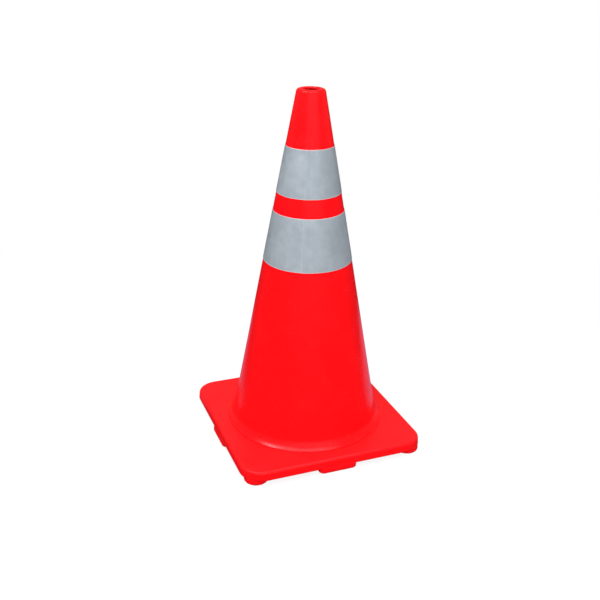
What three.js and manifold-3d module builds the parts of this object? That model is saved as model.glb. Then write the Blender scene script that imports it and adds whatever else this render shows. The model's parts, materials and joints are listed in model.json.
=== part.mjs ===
// A 28 in traffic cone: a thin-walled conical PVC shell standing on a thick square PVC base with eight moulded feet,
// with two reflective sleeves slipped over the shell. Millimetres, +Z up. The origin is on the ground under the
// cone's axis, and the sides of the base face -Y (front), +X, +Y and -X.

import * as THREE from "three";
import { mergeVertices } from "three/addons/utils/BufferGeometryUtils.js";
import Module from "manifold-3d";

// Overall
const HEIGHT = 711; // ground to the top of the rim, 28 in
const GAP = 0.3; // clearance between touching pieces
const SEGMENTS = 64; // facets round every piece that is turned about the axis

// Conical shell: its outer radius falls evenly with height
const RADIUS_AT_GROUND = 157.8; // where the slope of the wall would meet the ground
const TAPER = 0.1843; // millimetres of radius lost per millimetre of height
const WALL = 3.05; // wall thickness measured level
const outer = (z) => RADIUS_AT_GROUND - TAPER * z;
const inner = (z) => outer(z) - WALL;

// Top of the shell: a flat rim with a hole in it
const TOP_HOLE_R = 15.2;
const RIM_THICK = 3.2;
const RIM_ROUND = 6.0;

// Square base
const BASE_HALF = 190.6; // half the side length at the top: 15 in across
const BASE_CORNER_R = 43;
const BASE_BOTTOM = 10.8; // underside of the plate
const BASE_TOP = 30.4; // flat top of the plate
const BASE_DRAFT = 0.7; // how much wider the half side is at the underside
const BASE_EDGE_R = 6.8; // rounding of the upper edge
const BASE_HOLE_R = 152.1;

// Foot of the shell: a flange that lies on the base, and a spigot that stands in the hole of the base
const SPIGOT_R = BASE_HOLE_R - GAP;
const SPIGOT_IN_R = 149.2;
const SPIGOT_BOTTOM = 12.0;
const FLANGE_R = 162.2;
const FLANGE_ROUND = 3.0; // rounding of its rim, up to where its sloping top begins
const FLANGE_SLOPE = 57; // degrees that the sloping top leans back from upright
const SWEEP_R = 25.3; // hollow sweep from the sloping top up into the wall, with its centre:
const SWEEP_AT = [173.34, 55.26];

// Moulded feet under the base
const CORNER_FOOT_AT = 162; // in X and in Y
const CORNER_FOOT_R = 24;
const SIDE_FOOT_LENGTH = 80;
const SIDE_FOOT_DEPTH = 24;
const SIDE_FOOT_PROUD = 1.2; // outer face of the foot beyond the lower edge of the plate
const FOOT_EDGE = 3.0; // rounding under a foot

// Reflective sleeves: heights of their lower and upper edges
const SLEEVE_THICK = 0.5;
const UPPER_SLEEVE = [517.6, 607.5];
const LOWER_SLEEVE = [381.5, 482.2];

const wasm = await Module();
wasm.setup();

// A closed three.js geometry as a solid that can be joined and cut.
function solid(geometry) {
  const g = geometry.index ? geometry.toNonIndexed() : geometry.clone();
  g.deleteAttribute("normal");
  g.deleteAttribute("uv");
  const m = mergeVertices(g, 1e-4);
  return new wasm.Manifold(
    new wasm.Mesh({
      numProp: 3,
      vertProperties: new Float32Array(m.attributes.position.array),
      triVerts: new Uint32Array(m.index.array),
    }),
  );
}

// The solid back as a three.js geometry, each face with its own corners.
function geometryOf(made) {
  const m = made.getMesh();
  const g = new THREE.BufferGeometry();
  g.setAttribute(
    "position",
    new THREE.BufferAttribute(new Float32Array(m.vertProperties), 3),
  );
  g.setIndex(new THREE.BufferAttribute(new Uint32Array(m.triVerts), 1));
  const flat = g.toNonIndexed();
  flat.computeVertexNormals();
  return flat;
}

// A ring turned about +Z from its [radius, height] outline, listed anticlockwise (outside going up).
function turned(outline) {
  const points = outline.map(([r, z]) => new THREE.Vector2(r, z));
  points.push(points[0].clone());
  const g = new THREE.LatheGeometry(points, SEGMENTS);
  g.rotateX(Math.PI / 2); // the lathe's own axis is +Y
  return g;
}

// Points of an arc in the [radius, height] plane, angles in degrees.
function arc(cr, cz, radius, from, to, steps) {
  const list = [];
  for (let i = 0; i <= steps; i++) {
    const a = THREE.MathUtils.degToRad(from + ((to - from) * i) / steps);
    list.push([cr + radius * Math.cos(a), cz + radius * Math.sin(a)]);
  }
  return list;
}

// Outline of a rounded rectangle centred on the origin.
function roundedRect(halfX, halfY, radius) {
  const s = new THREE.Shape();
  s.absarc(halfX - radius, halfY - radius, radius, 0, Math.PI / 2);
  s.absarc(-halfX + radius, halfY - radius, radius, Math.PI / 2, Math.PI);
  s.absarc(-halfX + radius, -halfY + radius, radius, Math.PI, 1.5 * Math.PI);
  s.absarc(halfX - radius, -halfY + radius, radius, 1.5 * Math.PI, 2 * Math.PI);
  s.closePath();
  return s;
}

// Conical shell, with its flange and spigot at the foot and its holed rim at the top.
function coneBody() {
  const wallTop = HEIGHT - RIM_ROUND;
  const cavityTop = HEIGHT - RIM_THICK;
  return turned([
    [SPIGOT_IN_R, SPIGOT_BOTTOM],
    [SPIGOT_R, SPIGOT_BOTTOM],
    [SPIGOT_R, BASE_TOP + GAP],
    ...arc(
      FLANGE_R - FLANGE_ROUND,
      BASE_TOP + GAP,
      FLANGE_ROUND,
      0,
      FLANGE_SLOPE,
      3,
    ),
    ...arc(SWEEP_AT[0], SWEEP_AT[1], SWEEP_R, 180 + FLANGE_SLOPE, 190.44, 6),
    [outer(wallTop), wallTop],
    ...arc(
      outer(wallTop) - RIM_ROUND,
      wallTop,
      RIM_ROUND,
      15,
      90,
      4,
    ),
    [TOP_HOLE_R + 0.8, HEIGHT],
    [TOP_HOLE_R, HEIGHT - 0.8],
    [TOP_HOLE_R, cavityTop],
    [inner(cavityTop) - 2, cavityTop],
    [inner(cavityTop - 2), cavityTop - 2],
    [inner(BASE_TOP), BASE_TOP],
    [SPIGOT_IN_R, BASE_TOP - 1],
  ]);
}

// Square base: a thick rounded plate with a round hole, and its eight feet.
function base() {
  const thick = BASE_TOP - BASE_BOTTOM;
  const plate = new THREE.ExtrudeGeometry(
    roundedRect(
      BASE_HALF - BASE_EDGE_R,
      BASE_HALF - BASE_EDGE_R,
      BASE_CORNER_R - BASE_EDGE_R,
    ),
    {
      depth: thick,
      curveSegments: 10,
      bevelEnabled: true,
      bevelThickness: BASE_EDGE_R,
      bevelSize: BASE_EDGE_R,
      bevelSegments: 4,
    },
  );
  plate.translate(0, 0, BASE_BOTTOM - BASE_EDGE_R);
  // Only the upper edge is rounded: the lower bevel is trimmed away, then the sides are drafted outwards below.
  const trim = new THREE.BoxGeometry(500, 500, 40);
  trim.translate(0, 0, BASE_BOTTOM - 20);
  let body = solid(plate).subtract(solid(trim));
  const drafted = geometryOf(body);
  const p = drafted.attributes.position;
  for (let i = 0; i < p.count; i++) {
    const k =
      1 + ((BASE_DRAFT / BASE_HALF) * (BASE_TOP - p.getZ(i))) / thick;
    p.setXY(i, p.getX(i) * k, p.getY(i) * k);
  }
  body = solid(drafted);

  const hole = new THREE.CylinderGeometry(
    BASE_HOLE_R,
    BASE_HOLE_R,
    80,
    SEGMENTS,
  );
  hole.rotateX(Math.PI / 2);
  hole.rotateZ(Math.PI / 2);
  body = body.subtract(solid(hole));

  const embed = 4; // how far a foot runs up into the plate
  for (const sx of [-1, 1]) {
    for (const sy of [-1, 1]) {
      const profile = [
        [0, 0],
        [CORNER_FOOT_R - FOOT_EDGE, 0],
        [CORNER_FOOT_R - FOOT_EDGE * 0.3, FOOT_EDGE * 0.7],
        [CORNER_FOOT_R, FOOT_EDGE * 1.6],
        [CORNER_FOOT_R, BASE_BOTTOM + embed],
        [0, BASE_BOTTOM + embed],
      ].map(([r, z]) => new THREE.Vector2(r, z));
      const foot = new THREE.LatheGeometry(profile, 24);
      foot.rotateX(Math.PI / 2);
      foot.translate(sx * CORNER_FOOT_AT, sy * CORNER_FOOT_AT, 0);
      body = body.add(solid(foot));
    }
  }
  for (let side = 0; side < 4; side++) {
    const half = SIDE_FOOT_DEPTH / 2;
    const foot = new THREE.ExtrudeGeometry(
      roundedRect(
        SIDE_FOOT_LENGTH / 2 - FOOT_EDGE,
        half - FOOT_EDGE,
        half - FOOT_EDGE - 0.5,
      ),
      {
        depth: BASE_BOTTOM + embed - FOOT_EDGE * 2,
        curveSegments: 6,
        bevelEnabled: true,
        bevelThickness: FOOT_EDGE,
        bevelSize: FOOT_EDGE,
        bevelSegments: 2,
      },
    );
    foot.translate(
      0,
      -(BASE_HALF + BASE_DRAFT + SIDE_FOOT_PROUD - half),
      FOOT_EDGE,
    );
    foot.rotateZ((side * Math.PI) / 2);
    body = body.add(solid(foot));
  }
  return geometryOf(body);
}

// Reflective sleeve between two heights, following the wall of the shell.
function sleeve([low, high]) {
  const inside = (z) => outer(z) + GAP;
  const outside = (z) => inside(z) + SLEEVE_THICK;
  return turned([
    [inside(low), low],
    [outside(low), low],
    [outside(high), high],
    [inside(high), high],
  ]);
}

function piece(name, geometry, color, roughness) {
  const mesh = new THREE.Mesh(
    geometry,
    new THREE.MeshStandardMaterial({ color, roughness, metalness: 0 }),
  );
  mesh.name = name;
  return mesh;
}

const cone = new THREE.Group();
cone.name = "traffic_cone";
cone.add(
  piece("cone_body", coneBody(), 0xfa1419, 0.35),
  piece("base", base(), 0xf5161b, 0.45),
  piece("upper_collar", sleeve(UPPER_SLEEVE), 0xadb7be, 0.4),
  piece("lower_collar", sleeve(LOWER_SLEEVE), 0xadb7be, 0.4),
);

export default cone;
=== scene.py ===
import json
import math

import bpy
from mathutils import Matrix, Vector, noise

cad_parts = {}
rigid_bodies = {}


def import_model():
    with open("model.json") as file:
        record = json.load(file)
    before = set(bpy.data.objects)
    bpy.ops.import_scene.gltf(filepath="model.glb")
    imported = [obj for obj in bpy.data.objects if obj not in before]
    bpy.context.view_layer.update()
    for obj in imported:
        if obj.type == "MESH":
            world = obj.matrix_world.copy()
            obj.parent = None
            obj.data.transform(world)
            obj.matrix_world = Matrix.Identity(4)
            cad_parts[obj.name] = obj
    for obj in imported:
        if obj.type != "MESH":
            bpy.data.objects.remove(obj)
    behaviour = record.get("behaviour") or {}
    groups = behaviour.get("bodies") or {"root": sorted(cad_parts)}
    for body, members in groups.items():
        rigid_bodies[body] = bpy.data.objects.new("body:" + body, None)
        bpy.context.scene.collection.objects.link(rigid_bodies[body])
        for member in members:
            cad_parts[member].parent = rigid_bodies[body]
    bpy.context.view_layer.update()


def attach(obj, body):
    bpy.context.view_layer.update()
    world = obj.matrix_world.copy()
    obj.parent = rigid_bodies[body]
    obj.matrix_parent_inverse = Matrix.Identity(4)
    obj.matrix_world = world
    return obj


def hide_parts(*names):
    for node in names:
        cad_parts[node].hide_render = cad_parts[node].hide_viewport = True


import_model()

# ---------------------------------------------------------------------------------------------------------------------
# Dimensions, in metres, the same as the CAD's
# ---------------------------------------------------------------------------------------------------------------------
MM = 0.001
HEIGHT = 711 * MM
R_GROUND, TAPER, WALL = 157.8, 0.1843, 3.05
BASE_HALF, BASE_CORNER = 190.6, 43.0
BASE_LOW, BASE_TOP, BASE_DRAFT, BASE_EDGE = 10.8, 30.4, 0.7, 6.8
BASE_HOLE = 152.1
LIP = 3.0  # rounding of the plate's lower edge
UPPER = (517.6, 607.5)
LOWER = (381.5, 482.2)


def wall_r(z):
    """Outer radius of the conical wall at height z, both in millimetres."""
    return R_GROUND - TAPER * z


# ---------------------------------------------------------------------------------------------------------------------
# Camera: solved from the outline of the real object
# ---------------------------------------------------------------------------------------------------------------------
PSI, DIST, CAM_H = 0.3803808, 1.5915119, 0.9834982
PITCH, YAW, ROLL = 0.4118483, -0.0084087, 0.0178434

spin = Matrix.Rotation(-PSI, 3, "Z")
fwd = Vector((math.sin(YAW) * math.cos(PITCH), math.cos(YAW) * math.cos(PITCH), -math.sin(PITCH)))
right = Vector((math.cos(YAW), -math.sin(YAW), 0.0))
up = right.cross(fwd)
right, up = math.cos(ROLL) * right + math.sin(ROLL) * up, -math.sin(ROLL) * right + math.cos(ROLL) * up
fwd, right, up = spin @ fwd, spin @ right, spin @ up
place = spin @ Vector((0.0, -DIST, CAM_H))

cam_data = bpy.data.cameras.new("camera")
cam_data.sensor_width = 36.0
cam_data.sensor_fit = "HORIZONTAL"
cam_data.lens = 857.6975 / 600.0 * 36.0
cam_data.clip_start, cam_data.clip_end = 0.05, 60.0
cam = bpy.data.objects.new("camera", cam_data)
bpy.context.scene.collection.objects.link(cam)
cam.matrix_world = Matrix((
    (right.x, up.x, -fwd.x, place.x),
    (right.y, up.y, -fwd.y, place.y),
    (right.z, up.z, -fwd.z, place.z),
    (0, 0, 0, 1),
))
bpy.context.scene.camera = cam


# ---------------------------------------------------------------------------------------------------------------------
# Mesh helpers
# ---------------------------------------------------------------------------------------------------------------------
def mesh_from_rings(name, rings, loop=True, cap_ends=False):
    """Quads between successive rings of equal point count. loop joins the last ring to the first; cap_ends closes the
    first and last ring with one flat face each."""
    n = len(rings[0])
    verts = [p for ring in rings for p in ring]
    faces = []
    pairs = [(k, k + 1) for k in range(len(rings) - 1)]
    if loop:
        pairs.append((len(rings) - 1, 0))
    for a, b in pairs:
        for i in range(n):
            j = (i + 1) % n
            faces.append((a * n + i, a * n + j, b * n + j, b * n + i))
    if cap_ends:
        faces.append(tuple(reversed(range(n))))
        last = (len(rings) - 1) * n
        faces.append(tuple(last + i for i in range(n)))
    me = bpy.data.meshes.new(name)
    me.from_pydata([tuple(c * MM for c in p) for p in verts], [], faces)
    me.update()
    return me


def link(name, me, sharp=35.0):
    me.polygons.foreach_set("use_smooth", [True] * len(me.polygons))
    me.set_sharp_from_angle(angle=math.radians(sharp))
    ob = bpy.data.objects.new(name, me)
    bpy.context.scene.collection.objects.link(ob)
    return ob


def arc(cr, cz, radius, start, end, steps):
    """Points of an arc in the [radius, height] plane, angles in degrees."""
    out = []
    for i in range(steps + 1):
        a = math.radians(start + (end - start) * i / steps)
        out.append((cr + radius * math.cos(a), cz + radius * math.sin(a)))
    return out


def line(p, q, steps, ends=False):
    """Points between p and q, without p, with q if ends."""
    out = []
    for i in range(1, steps + (1 if ends else 0)):
        t = i / steps
        out.append((p[0] + (q[0] - p[0]) * t, p[1] + (q[1] - p[1]) * t))
    return out


def wave(x, y, z, size, seed):
    """Smooth value from -1 to 1 that changes over about size millimetres."""
    return noise.noise(Vector((x / size + seed * 17.3, y / size - seed * 5.1, z / size + seed * 3.7)))


def turned(name, outline, segments, wobble=0.0, size=90.0, seed=1):
    """A ring turned about the axis. Its wall waves in and out by up to wobble, as soft moulded PVC does."""
    rings = []
    for r, z in outline:
        ring = []
        for i in range(segments):
            a = 2 * math.pi * i / segments
            x, y = r * math.cos(a), r * math.sin(a)
            fade = min(1.0, max(0.0, (z - 45) / 60)) * min(1.0, max(0.0, (HEIGHT / MM - 12 - z) / 40))
            d = wobble * fade * wave(x, y, z * 0.6, size, seed)
            k = (r + d) / r
            ring.append((x * k, y * k, z))
        rings.append(ring)
    return mesh_from_rings(name, rings)


def rounded_square(half_x, half_y, radius, straight, corner):
    """Points of a rounded rectangle and their outward normals, anticlockwise from the middle of the +X side."""
    pts = []
    centres = ((half_x - radius, half_y - radius), (-half_x + radius, half_y - radius),
               (-half_x + radius, -half_y + radius), (half_x - radius, -half_y + radius))
    for k, (cx, cy) in enumerate(centres):
        a0 = k * math.pi / 2
        for i in range(corner + 1):
            a = a0 + math.pi / 2 * i / corner
            pts.append(((cx + radius * math.cos(a), cy + radius * math.sin(a)), (math.cos(a), math.sin(a))))
        nx, ny = centres[(k + 1) % 4]
        a = a0 + math.pi / 2
        p = (cx + radius * math.cos(a), cy + radius * math.sin(a))
        q = (nx + radius * math.cos(a), ny + radius * math.sin(a))
        for i in range(1, straight):
            t = i / straight
            pts.append(((p[0] + (q[0] - p[0]) * t, p[1] + (q[1] - p[1]) * t), (math.cos(a), math.sin(a))))
    return pts


def only_object(ob):
    bpy.context.view_layer.update()
    for o in bpy.context.scene.objects:
        o.select_set(False)
    ob.select_set(True)
    bpy.context.view_layer.objects.active = ob


def union(ob, other):
    """Joins other into ob and removes it."""
    mod = ob.modifiers.new("join", "BOOLEAN")
    mod.operation, mod.solver, mod.object = "UNION", "EXACT", other
    only_object(ob)
    bpy.ops.object.modifier_apply(modifier=mod.name)
    bpy.data.objects.remove(other, do_unlink=True)


# ---------------------------------------------------------------------------------------------------------------------
# Conical shell
# ---------------------------------------------------------------------------------------------------------------------
def cone_outline():
    top = HEIGHT / MM
    spigot_r, spigot_in, flange_z = BASE_HOLE - 0.3, 149.2, BASE_TOP + 0.3
    pts = [(spigot_in + 0.6, 12.0), (spigot_r - 0.6, 12.0), (spigot_r, 12.6)]
    pts += line((spigot_r, 12.6), (spigot_r, flange_z), 6)
    pts += [(spigot_r, flange_z)]
    pts += line((spigot_r, flange_z), (162.2, flange_z), 4)
    # the flange's rounded rim, its sloping top and the sweep up into the wall
    rim = arc(159.2, flange_z, 3.0, 0, 57, 10)
    sweep = arc(173.34, 55.26, 25.3, 237, 190.44, 20)
    pts += rim
    pts += line(rim[-1], sweep[0], 4)
    pts += sweep
    pts += line(sweep[-1], (wall_r(top - 6), top - 6), 72)
    crown = arc(wall_r(top - 6) - 6.0, top - 6, 6.0, 10, 90, 12)
    pts += crown
    # the flat rim and the rounded lip of its hole
    pts += line(crown[-1], (17.7, top), 4, True)
    pts += arc(17.7, top - 2.5, 2.5, 90, 180, 9)[1:]
    pts += arc(15.7, top - 2.7, 0.5, 180, 270, 4)
    inner_top = top - 3.2
    pts += line((15.7, inner_top), (wall_r(top - 6) - 6.0, inner_top), 3)
    pts += arc(wall_r(top - 6) - 6.0, top - 6, 2.8, 90, 12, 8)
    pts += line((wall_r(top - 7) - WALL, top - 7), (wall_r(BASE_TOP) - WALL, BASE_TOP), 60)
    pts += [(wall_r(BASE_TOP) - WALL, BASE_TOP), (spigot_in, BASE_TOP - 2)]
    pts += line((spigot_in, BASE_TOP - 2), (spigot_in, 12.6), 5)
    pts += [(spigot_in, 12.6)]
    return pts


shell = link("cone_shell", turned("cone_shell", cone_outline(), 288, wobble=0.35, size=95.0, seed=1), 40)


# ---------------------------------------------------------------------------------------------------------------------
# Base with its feet
# ---------------------------------------------------------------------------------------------------------------------
def plate_mesh():
    path = rounded_square(BASE_HALF - BASE_EDGE, BASE_HALF - BASE_EDGE, BASE_CORNER - BASE_EDGE, 44, 22)
    n = len(path)
    circle = []
    for (x, y), _ in path:
        a = math.atan2(y, x)
        circle.append((math.cos(a), math.sin(a)))

    def outer_ring(d, z):
        return [(x + nx * d, y + ny * d, z) for (x, y), (nx, ny) in path]

    def between(t, z, inner_r, d, lift=0.0):
        ring = []
        for ((x, y), (nx, ny)), (cx, cy) in zip(path, circle):
            ox, oy = x + nx * d, y + ny * d
            px, py = cx * inner_r + (ox - cx * inner_r) * t, cy * inner_r + (oy - cy * inner_r) * t
            ring.append((px, py, z + lift * wave(px, py, 0, 70, 3)))
        return ring

    rings = []
    # hole wall, upwards
    for z in (BASE_LOW + 0.6, 16, 21, 26, BASE_TOP - 0.8):
        rings.append([(cx * BASE_HOLE, cy * BASE_HOLE, z) for cx, cy in circle])
    for a in (30, 60, 90):
        r = BASE_HOLE + 0.8 - 0.8 * math.cos(math.radians(a))
        z = BASE_TOP - 0.8 + 0.8 * math.sin(math.radians(a))
        rings.append([(cx * r, cy * r, z) for cx, cy in circle])
    # top face, outwards, with a very slight unevenness away from its rims
    for t in (0.04, 0.12, 0.25, 0.4, 0.55, 0.7, 0.83, 0.93, 0.98):
        lift = 0.22 * min(1.0, (1 - t) * 4, t * 8)
        rings.append(between(t, BASE_TOP - 0.05 * min(1, t * 8), BASE_HOLE + 0.8, 0.0, lift))
    # rounded upper edge, drafted side and small lower edge
    for i in range(0, 13):
        a = math.radians(90 - 90 * i / 12)
        rings.append(outer_ring(BASE_EDGE * math.cos(a), BASE_TOP - BASE_EDGE + BASE_EDGE * math.sin(a)))
    for k in range(1, 6):
        t = k / 6
        rings.append(outer_ring(BASE_EDGE + BASE_DRAFT * t, BASE_TOP - BASE_EDGE + (BASE_LOW + LIP - BASE_TOP + BASE_EDGE) * t))
    for i in range(0, 9):
        a = math.radians(90 * i / 8)
        rings.append(outer_ring(BASE_EDGE + BASE_DRAFT - LIP + LIP * math.cos(a), BASE_LOW + LIP - LIP * math.sin(a)))
    # underside, inwards
    for t in (0.94, 0.8, 0.55, 0.3, 0.1, 0.03):
        rings.append(between(t, BASE_LOW, BASE_HOLE + 0.6, BASE_EDGE + BASE_DRAFT - LIP))
    rings.append([(cx * (BASE_HOLE + 0.6), cy * (BASE_HOLE + 0.6), BASE_LOW) for cx, cy in circle])
    return mesh_from_rings("base_plate", rings)


def corner_foot(cx, cy, radius, edge):
    rings = []
    profile = [(radius - edge - 6, 0.0), (radius - edge, 0.0)]
    profile += arc(radius - edge, edge, edge, -75, 0, 6)
    profile += [(radius, 7.5), (radius - 0.15, 10.0), (radius - 0.5, 12.5), (radius - 1.3, 15.0), (radius - 2.6, 17.0)]
    for r, z in profile:
        rings.append([(cx + r * math.cos(2 * math.pi * i / 72), cy + r * math.sin(2 * math.pi * i / 72), z) for i in range(72)])
    return mesh_from_rings("foot", rings, loop=False, cap_ends=True)


def side_foot(quarter, length, depth, edge, outer):
    path = rounded_square(length / 2 - edge, depth / 2 - edge, depth / 2 - edge - 1.0, 14, 12)
    rot = Matrix.Rotation(quarter * math.pi / 2, 2)
    profile = [(-5, 0.0), (0.0, 0.0)] + arc(0.0, edge, edge, -75, 0, 6)
    profile += [(edge, 8.0), (edge - 0.2, 10.5), (edge - 0.7, 13.0), (edge - 1.6, 15.5), (edge - 2.8, 17.0)]
    rings = []
    for d, z in profile:
        ring = []
        for (x, y), (nx, ny) in path:
            p = rot @ Vector((x + nx * d, y + ny * d - (outer - depth / 2)))
            ring.append((p.x, p.y, z))
        rings.append(ring)
    return mesh_from_rings("foot", rings, loop=False, cap_ends=True)


base = link("base_plate", plate_mesh())
for sx in (-1, 1):
    for sy in (-1, 1):
        union(base, link("foot", corner_foot(sx * 162.0, sy * 162.0, 24.0, 5.0)))
for quarter in range(4):
    union(base, link("foot", side_foot(quarter, 80.0, 24.0, 4.5, BASE_HALF + BASE_DRAFT + 1.2)))
base.data.polygons.foreach_set("use_smooth", [True] * len(base.data.polygons))
base.data.set_sharp_from_angle(angle=math.radians(32))


# ---------------------------------------------------------------------------------------------------------------------
# Reflective sleeves: one strip of sheeting each, wrapped round the cone and welded where its ends overlap
# ---------------------------------------------------------------------------------------------------------------------
def sleeve_mesh(name, low, high, thick, seam_deg, lap_deg, seed):
    steps, rows = 300, 10
    total = 360.0 + lap_deg - 0.5
    angles = [0.0, 0.12, 0.3]
    a = 0.3
    while a < lap_deg + 6:
        a += 0.5
        angles.append(a)
    rest = total - a
    angles += [a + rest * (i + 1) / steps for i in range(steps)]

    def proud(t):
        """How far the strip stands off: its outer end lies on its inner end."""
        if t <= lap_deg:
            return thick + 0.04
        u = min(1.0, (t - lap_deg) / 4.0)
        return (thick + 0.04) * (1 - u * u * (3 - 2 * u))

    edge = thick * 0.35
    section = []
    for k in range(rows + 1):
        section.append((1.0, low + edge + (high - low - 2 * edge) * k / rows))
    section.append((0.6, high))
    section.append((0.1, high))
    section.append((0.0, high - edge))
    for k in range(1, rows):
        section.append((0.0, high - edge - (high - low - 2 * edge) * k / rows))
    section.append((0.0, low + edge))
    section.append((0.1, low))
    section.append((0.6, low))
    n = len(section)
    verts, faces = [], []
    for t in angles:
        ang = math.radians(seam_deg + t)
        c, s = math.cos(ang), math.sin(ang)
        for side, z in section:
            r = wall_r(z) + 0.3 + proud(t) + side * thick
            if 12 < t < 350:
                r += 0.10 * wave(r * c, r * s, z, 45, seed) * min(1.0, (t - 12) / 20, (350 - t) / 20)
            verts.append((r * c * MM, r * s * MM, z * MM))
    for i in range(len(angles) - 1):
        for k in range(n):
            m = (k + 1) % n
            faces.append((i * n + k, (i + 1) * n + k, (i + 1) * n + m, i * n + m))
    faces.append(tuple(range(n)))
    last = (len(angles) - 1) * n
    faces.append(tuple(reversed([last + k for k in range(n)])))
    me = bpy.data.meshes.new(name)
    me.from_pydata(verts, [], faces)
    me.update()
    return me


upper = link("upper_sleeve", sleeve_mesh("upper_sleeve", UPPER[0], UPPER[1], 0.45, -119.3, 5.5, 5), 30)
lower = link("lower_sleeve", sleeve_mesh("lower_sleeve", LOWER[0], LOWER[1], 0.45, -119.3, 6.0, 8), 30)


# ---------------------------------------------------------------------------------------------------------------------
# Materials
# ---------------------------------------------------------------------------------------------------------------------
class Nodes:
    """Small helper that adds and links shader nodes."""

    def __init__(self, name):
        self.mat = bpy.data.materials.new(name)
        self.mat.use_nodes = True
        self.tree = self.mat.node_tree
        self.tree.nodes.clear()
        self.out = self.tree.nodes.new("ShaderNodeOutputMaterial")
        self.bsdf = self.tree.nodes.new("ShaderNodeBsdfPrincipled")
        self.link(self.bsdf.outputs["BSDF"], self.out.inputs["Surface"])
        self.coords = self.tree.nodes.new("ShaderNodeTexCoord").outputs["Object"]

    def link(self, a, b):
        self.tree.links.new(a, b)

    def put(self, value, socket):
        if isinstance(value, bpy.types.NodeSocket):
            self.link(value, socket)
        else:
            socket.default_value = value

    def mapping(self, scale=(1, 1, 1), rotation=(0, 0, 0), source=None):
        n = self.tree.nodes.new("ShaderNodeMapping")
        self.link(source or self.coords, n.inputs["Vector"])
        n.inputs["Scale"].default_value = scale
        n.inputs["Rotation"].default_value = rotation
        return n.outputs["Vector"]

    def noise(self, scale, detail=2.0, rough=0.5, vector=None, distortion=0.0):
        n = self.tree.nodes.new("ShaderNodeTexNoise")
        self.link(vector or self.coords, n.inputs["Vector"])
        n.inputs["Scale"].default_value = scale
        n.inputs["Detail"].default_value = detail
        n.inputs["Roughness"].default_value = rough
        n.inputs["Distortion"].default_value = distortion
        return n.outputs["Fac"]

    def voronoi(self, scale, feature="F1", vector=None, out="Distance", randomness=1.0):
        n = self.tree.nodes.new("ShaderNodeTexVoronoi")
        n.feature = feature
        self.link(vector or self.coords, n.inputs["Vector"])
        n.inputs["Scale"].default_value = scale
        n.inputs["Randomness"].default_value = randomness
        return n.outputs[out]

    def math(self, op, a, b=0.0, clamp=False):
        n = self.tree.nodes.new("ShaderNodeMath")
        n.operation, n.use_clamp = op, clamp
        self.put(a, n.inputs[0])
        self.put(b, n.inputs[1])
        return n.outputs[0]

    def range(self, value, lo, hi, to_lo=0.0, to_hi=1.0, smooth=True):
        n = self.tree.nodes.new("ShaderNodeMapRange")
        n.interpolation_type = "SMOOTHSTEP" if smooth else "LINEAR"
        self.link(value, n.inputs["Value"])
        n.inputs["From Min"].default_value, n.inputs["From Max"].default_value = lo, hi
        n.inputs["To Min"].default_value, n.inputs["To Max"].default_value = to_lo, to_hi
        return n.outputs["Result"]

    def mix(self, factor, a, b, kind="MIX"):
        n = self.tree.nodes.new("ShaderNodeMix")
        n.data_type, n.blend_type = "RGBA", kind
        self.put(factor, n.inputs[0])
        self.put(a, n.inputs[6])
        self.put(b, n.inputs[7])
        return n.outputs[2]

    def bump(self, height, distance, strength=1.0, normal=None):
        n = self.tree.nodes.new("ShaderNodeBump")
        n.inputs["Strength"].default_value = strength
        n.inputs["Distance"].default_value = distance
        self.link(height, n.inputs["Height"])
        if normal is not None:
            self.link(normal, n.inputs["Normal"])
        return n.outputs["Normal"]

    def separate(self, source=None):
        n = self.tree.nodes.new("ShaderNodeSeparateXYZ")
        self.link(source or self.coords, n.inputs[0])
        return n.outputs


def rgba(r, g, b):
    return (r, g, b, 1.0)


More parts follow.
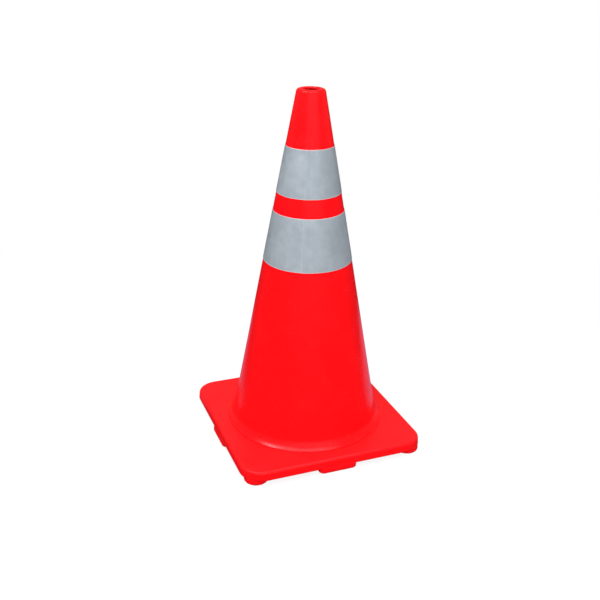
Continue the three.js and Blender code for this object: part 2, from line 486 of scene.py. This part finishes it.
def pvc(name, base_red, deep_red, rough_lo, rough_hi, grain, wear, upward_pale, shine):
    """Soft glossy moulded PVC: colour clouds, drawn flow marks, an orange-peel skin, smudges, and scuffs low down."""
    m = Nodes(name)
    xyz = m.separate()
    clouds = m.noise(9.0, 3.0, 0.55)
    flow = m.noise(16.0, 3.0, 0.6, m.mapping((1.0, 1.0, 0.12)))
    tone = m.math("ADD", m.math("MULTIPLY", clouds, 0.6), m.math("MULTIPLY", flow, 0.4))
    colour = m.mix(m.range(tone, 0.38, 0.66), base_red, deep_red)
    # pale scuffs in short scratches, kept to the lowest parts
    scratch = m.range(m.noise(420.0, 2.0, 0.7, m.mapping((1.0, 0.18, 1.6), (0.3, 0.2, 0.7))), 0.66, 0.74)
    patch = m.range(m.noise(34.0, 3.0, 0.6), 0.55, 0.72)
    low = m.range(xyz[2], wear[0], wear[1], 1.0, 0.0)
    scuff = m.math("MULTIPLY", m.math("MULTIPLY", scratch, patch), low)
    colour = m.mix(m.math("MULTIPLY", scuff, 0.30), colour, rgba(0.62, 0.20, 0.19))
    if upward_pale:
        # lightens what faces up towards a pale pink, in soft clouds
        facing = m.separate(m.tree.nodes.new("ShaderNodeNewGeometry").outputs["Normal"])
        upward_pale_veil = m.math("MULTIPLY", m.range(facing[2], 0.75, 0.98), m.range(m.noise(22.0, 3.0, 0.6), 0.3, 0.7, 0.7, 1.2))
        colour = m.mix(m.math("MULTIPLY", upward_pale_veil, upward_pale), colour, rgba(0.80, 0.58, 0.56))
    m.put(colour, m.bsdf.inputs["Base Color"])
    smudge = m.noise(26.0, 4.0, 0.62, distortion=0.6)
    rough = m.range(smudge, 0.3, 0.72, rough_lo, rough_hi)
    rough = m.math("ADD", rough, m.math("MULTIPLY", scuff, 0.25))
    m.put(rough, m.bsdf.inputs["Roughness"])
    peel = m.noise(330.0, 2.0, 0.5)
    pores = m.noise(1900.0, 1.0, 0.5)
    skin = m.bump(peel, 0.00010 * grain, 0.5)
    skin = m.bump(pores, 0.00002 * grain, 0.5, skin)
    skin = m.bump(scuff, 0.00004, 0.6, skin)
    m.put(skin, m.bsdf.inputs["Normal"])
    m.bsdf.inputs["IOR"].default_value = 1.46
    m.bsdf.inputs["Specular IOR Level"].default_value = shine
    m.bsdf.inputs["Specular Tint"].default_value = rgba(1.0, 0.3, 0.33)
    return m.mat


def sheeting(name, low, high, seam_deg):
    """Silver-grey glass-bead reflective sheeting: bead grain, faint mottling, a sealed pale line along both edges."""
    m = Nodes(name)
    xyz = m.separate()
    beads = m.voronoi(1500.0)
    mottle = m.noise(75.0, 4.0, 0.6)
    broad = m.noise(14.0, 2.0, 0.5)
    tone = m.math("ADD", m.math("MULTIPLY", mottle, 0.5), m.math("MULTIPLY", broad, 0.5))
    colour = m.mix(m.range(tone, 0.35, 0.68), rgba(0.351, 0.402, 0.446), rgba(0.425, 0.479, 0.525))
    colour = m.mix(m.range(beads, 0.0, 0.75, 0.10, 0.0), colour, rgba(0.78, 0.82, 0.86))
    rim_low = m.range(xyz[2], low * MM + 0.0006, low * MM + 0.0022, 1.0, 0.0)
    rim_high = m.range(xyz[2], high * MM - 0.0022, high * MM - 0.0006, 0.0, 1.0)
    rim = m.math("MAXIMUM", rim_low, rim_high)
    colour = m.mix(m.math("MULTIPLY", rim, 0.35), colour, rgba(0.78, 0.82, 0.85))
    # painted light along the seam: a painted highlight on the strip's trimmed end, a painted shadow line at the ridge
    # over its covered end, and a faint painted highlight where it comes to lie flat again
    turn = m.math("SUBTRACT", m.math("MULTIPLY", m.math("ARCTAN2", xyz[1], xyz[0]), 180 / math.pi), seam_deg)
    cut_end_highlight = m.range(m.math("ABSOLUTE", m.math("SUBTRACT", turn, 0.4)), 0.2, 0.8, 1.0, 0.0)
    step_shadow_line = m.range(m.math("ABSOLUTE", m.math("SUBTRACT", turn, 6.9)), 0.3, 1.1, 1.0, 0.0)
    flat = m.range(m.math("ABSOLUTE", m.math("SUBTRACT", turn, 12.4)), 0.3, 1.2, 1.0, 0.0)
    # the painted highlights mix towards pale, the painted shadow line towards dark
    colour = m.mix(m.math("MULTIPLY", cut_end_highlight, 0.13), colour, rgba(0.80, 0.83, 0.86))
    colour = m.mix(m.math("MULTIPLY", step_shadow_line, 0.05), colour, rgba(0.10, 0.12, 0.14))
    colour = m.mix(m.math("MULTIPLY", flat, 0.03), colour, rgba(0.80, 0.83, 0.86))
    m.put(colour, m.bsdf.inputs["Base Color"])
    rough = m.range(mottle, 0.3, 0.7, 0.40, 0.52)
    m.put(rough, m.bsdf.inputs["Roughness"])
    m.put(m.bump(m.noise(60.0, 3.0, 0.5), 0.00012, 0.4, m.bump(beads, 0.00004, 0.5)), m.bsdf.inputs["Normal"])
    m.bsdf.inputs["Metallic"].default_value = 0.35
    m.bsdf.inputs["IOR"].default_value = 1.45
    return m.mat


def paint(ob, mat):
    ob.data.materials.clear()
    ob.data.materials.append(mat)


paint(shell, pvc("pvc_body", rgba(0.985, 0.0036, 0.0062), rgba(0.945, 0.0031, 0.0056), 0.20, 0.29, 1.0, (0.03, 0.16), 0.0, 0.5))
paint(base, pvc("pvc_base", rgba(0.975, 0.0040, 0.0068), rgba(0.925, 0.0033, 0.0060), 0.34, 0.48, 1.6, (0.0, 0.05), 0.006, 0.3))
paint(upper, sheeting("reflective_upper", UPPER[0], UPPER[1], -119.3))
paint(lower, sheeting("reflective_lower", LOWER[0], LOWER[1], -119.3))

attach(shell, "cone")
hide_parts("cone_body")
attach(base, "cone")
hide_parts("base")
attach(upper, "upper_collar")
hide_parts("upper_collar")
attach(lower, "lower_collar")
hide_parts("lower_collar")


# ---------------------------------------------------------------------------------------------------------------------
# Stage and light
# ---------------------------------------------------------------------------------------------------------------------
scene = bpy.context.scene
scene.view_settings.view_transform = "Standard"
scene.view_settings.look = "None"

floor_me = bpy.data.meshes.new("floor")
side = 30.0
floor_me.from_pydata([(-side, -side, 0), (side, -side, 0), (side, side, 0), (-side, side, 0)], [], [(0, 1, 2, 3)])
floor = bpy.data.objects.new("floor", floor_me)
scene.collection.objects.link(floor)

# White paper, bright enough to keep only a faint shadow. The light that it throws back on the object is set apart from
# how it looks: an even glow in diffuse light, and in reflections little from close by, where the object shades it, more
# from a ring further out.
fm = Nodes("floor_paper")
fm.bsdf.inputs["Base Color"].default_value = rgba(0.14, 0.14, 0.14)
fm.bsdf.inputs["Roughness"].default_value = 0.9
fm.bsdf.inputs["Specular IOR Level"].default_value = 0.0
fm.bsdf.inputs["Emission Color"].default_value = rgba(1, 1, 1)
fm.bsdf.inputs["Emission Strength"].default_value = 0.86
xyz = fm.separate()
length = fm.tree.nodes.new("ShaderNodeVectorMath")
length.operation = "LENGTH"
fm.link(fm.coords, length.inputs[0])
radius = length.outputs["Value"]
white = fm.tree.nodes.new("ShaderNodeEmission")
white.inputs["Color"].default_value = rgba(1, 1, 1)
white.inputs["Strength"].default_value = 1.0
seen = fm.tree.nodes.new("ShaderNodeMixShader")
fm.link(fm.range(radius, 0.5, 1.4), seen.inputs[0])
fm.link(fm.bsdf.outputs["BSDF"], seen.inputs[1])
fm.link(white.outputs[0], seen.inputs[2])
edge = fm.math("SUBTRACT", fm.math("MAXIMUM", fm.math("ABSOLUTE", xyz[0]), fm.math("ABSOLUTE", xyz[1])), 0.191)
away = Vector((-place.x, -place.y)).normalized()
behind = fm.math("ADD", fm.math("MULTIPLY", xyz[0], away.x), fm.math("MULTIPLY", xyz[1], away.y))
aside = fm.math("ADD", fm.math("MULTIPLY", xyz[0], away.y), fm.math("MULTIPLY", xyz[1], -away.x))
# how far the bright part of the paper reaches to the left and to the right, further out the further behind it is
reach_l = fm.math("ADD", fm.math("MULTIPLY", behind, 0.20), 0.320)
reach_r = fm.math("SUBTRACT", 0.590, fm.math("MULTIPLY", fm.math("EXPONENT", fm.math("MULTIPLY", fm.math("SUBTRACT", behind, 0.06), -6.25)), 0.290))
out_l = fm.math("ADD", aside, reach_l)
out_r = fm.math("SUBTRACT", aside, reach_r)
left = fm.math("MULTIPLY", fm.range(out_l, -0.055, 0.055), fm.range(behind, 0.02, 0.07))
rightward = fm.math("MULTIPLY", fm.range(out_r, -0.055, 0.055, 1.0, 0.0), fm.range(behind, 0.03, 0.09))
side_part = fm.range(aside, -0.05, 0.05)
ring = fm.math("ADD", fm.math("MULTIPLY", fm.math("MULTIPLY", left, fm.math("SUBTRACT", 1.0, side_part)), 0.22),
               fm.math("MULTIPLY", fm.math("MULTIPLY", rightward, side_part), 0.26))
ring = fm.math("MULTIPLY", ring, fm.math("MULTIPLY", fm.range(edge, 0.0, 0.02), fm.range(behind, 0.58, 0.76, 1.0, 0.0)))
path = fm.tree.nodes.new("ShaderNodeLightPath")
glossy = fm.tree.nodes.new("ShaderNodeEmission")
glossy.inputs["Color"].default_value = rgba(1.8, 1.0, 1.55)
fm.link(fm.math("ADD", ring, 0.02), glossy.inputs["Strength"])
bounce = fm.tree.nodes.new("ShaderNodeEmission")
bounce.inputs["Color"].default_value = rgba(1, 1, 1)
bounce.inputs["Strength"].default_value = 0.25
back = fm.tree.nodes.new("ShaderNodeMixShader")
fm.link(path.outputs["Is Glossy Ray"], back.inputs[0])
fm.link(bounce.outputs[0], back.inputs[1])
fm.link(glossy.outputs[0], back.inputs[2])
blend = fm.tree.nodes.new("ShaderNodeMixShader")
fm.link(path.outputs["Is Camera Ray"], blend.inputs[0])
fm.link(back.outputs[0], blend.inputs[1])
fm.link(seen.outputs[0], blend.inputs[2])
fm.link(blend.outputs[0], fm.out.inputs["Surface"])
paint(floor, fm.mat)

world = bpy.data.worlds.new("studio")
scene.world = world
world.use_nodes = True
wt = world.node_tree
wt.nodes.clear()


def background(strength):
    n = wt.nodes.new("ShaderNodeBackground")
    n.inputs["Color"].default_value = rgba(1, 1, 1)
    n.inputs["Strength"].default_value = strength
    return n


def either(factor, a, b):
    n = wt.nodes.new("ShaderNodeMixShader")
    wt.links.new(factor, n.inputs[0])
    wt.links.new(a.outputs[0], n.inputs[1])
    wt.links.new(b.outputs[0], n.inputs[2])
    return n


w_path = wt.nodes.new("ShaderNodeLightPath")
# what shines in the object's skin: lighter towards the horizon
w_dir = wt.nodes.new("ShaderNodeTexCoord")
w_xyz = wt.nodes.new("ShaderNodeSeparateXYZ")
wt.links.new(w_dir.outputs["Generated"], w_xyz.inputs[0])
w_level = wt.nodes.new("ShaderNodeMapRange")
w_level.interpolation_type = "SMOOTHSTEP"
wt.links.new(w_xyz.outputs[2], w_level.inputs["Value"])
for socket, value in (("From Min", 0.0), ("From Max", 0.42), ("To Max", 0.07)):
    w_level.inputs[socket].default_value = value
shine = background(1.0)
w_back = wt.nodes.new("ShaderNodeVectorMath")
w_back.operation = "DOT_PRODUCT"
wt.links.new(w_dir.outputs["Generated"], w_back.inputs[0])
w_back.inputs[1].default_value = (away.x, away.y, 0.0)
w_side = wt.nodes.new("ShaderNodeMapRange")
wt.links.new(w_back.outputs["Value"], w_side.inputs["Value"])
for socket, value in (("From Min", -0.3), ("From Max", 0.3), ("To Min", 0.07), ("To Max", 0.22)):
    w_side.inputs[socket].default_value = value
wt.links.new(w_side.outputs["Result"], w_level.inputs["To Min"])
wt.links.new(w_level.outputs["Result"], shine.inputs["Strength"])
w_out = wt.nodes.new("ShaderNodeOutputWorld")
room = either(w_path.outputs["Is Glossy Ray"], background(0.78), shine)
wt.links.new(either(w_path.outputs["Is Camera Ray"], room, background(1.0)).outputs[0], w_out.inputs["Surface"])


def lamp(name, azimuth, elevation, distance, width, height, level, target=(0, 0, 0.3), diffuse=True, glossy=True):
    """A soft box. azimuth is to the right of the camera's side of the object, in degrees. level is what a white surface
    facing the lamp gets from it, 1 being full white. diffuse and glossy say what it takes part in."""
    data = bpy.data.lights.new(name, "AREA")
    data.shape = "RECTANGLE"
    data.size, data.size_y = width, height
    data.energy = math.pi ** 2 * distance ** 2 * level
    ob = bpy.data.objects.new(name, data)
    scene.collection.objects.link(ob)
    ob.visible_diffuse, ob.visible_glossy = diffuse, glossy
    a, e = math.atan2(place.y, place.x) + math.radians(azimuth), math.radians(elevation)
    t = Vector(target)
    at = t + distance * Vector((math.cos(a) * math.cos(e), math.sin(a) * math.cos(e), math.sin(e)))
    ob.matrix_world = Matrix.Translation(at) @ (t - at).to_track_quat("-Z", "Y").to_matrix().to_4x4()
    return ob


lamp("key", -65, 45, 2.2, 1.2, 1.2, 0.40, glossy=False)
lamp("key_shine", -71, 57, 2.2, 0.5, 0.5, 0.45, diffuse=False)
lamp("top", 4, 72, 2.0, 2.2, 0.8, 0.32, glossy=False)
lamp("top_shine", 4, 72, 2.0, 2.2, 0.95, 1.35, diffuse=False)
lamp("front", 14, 28, 3.0, 3.8, 2.6, 0.78, glossy=False)
lamp("window", 27, 10, 3.0, 2.0, 0.65, 0.004, diffuse=False)
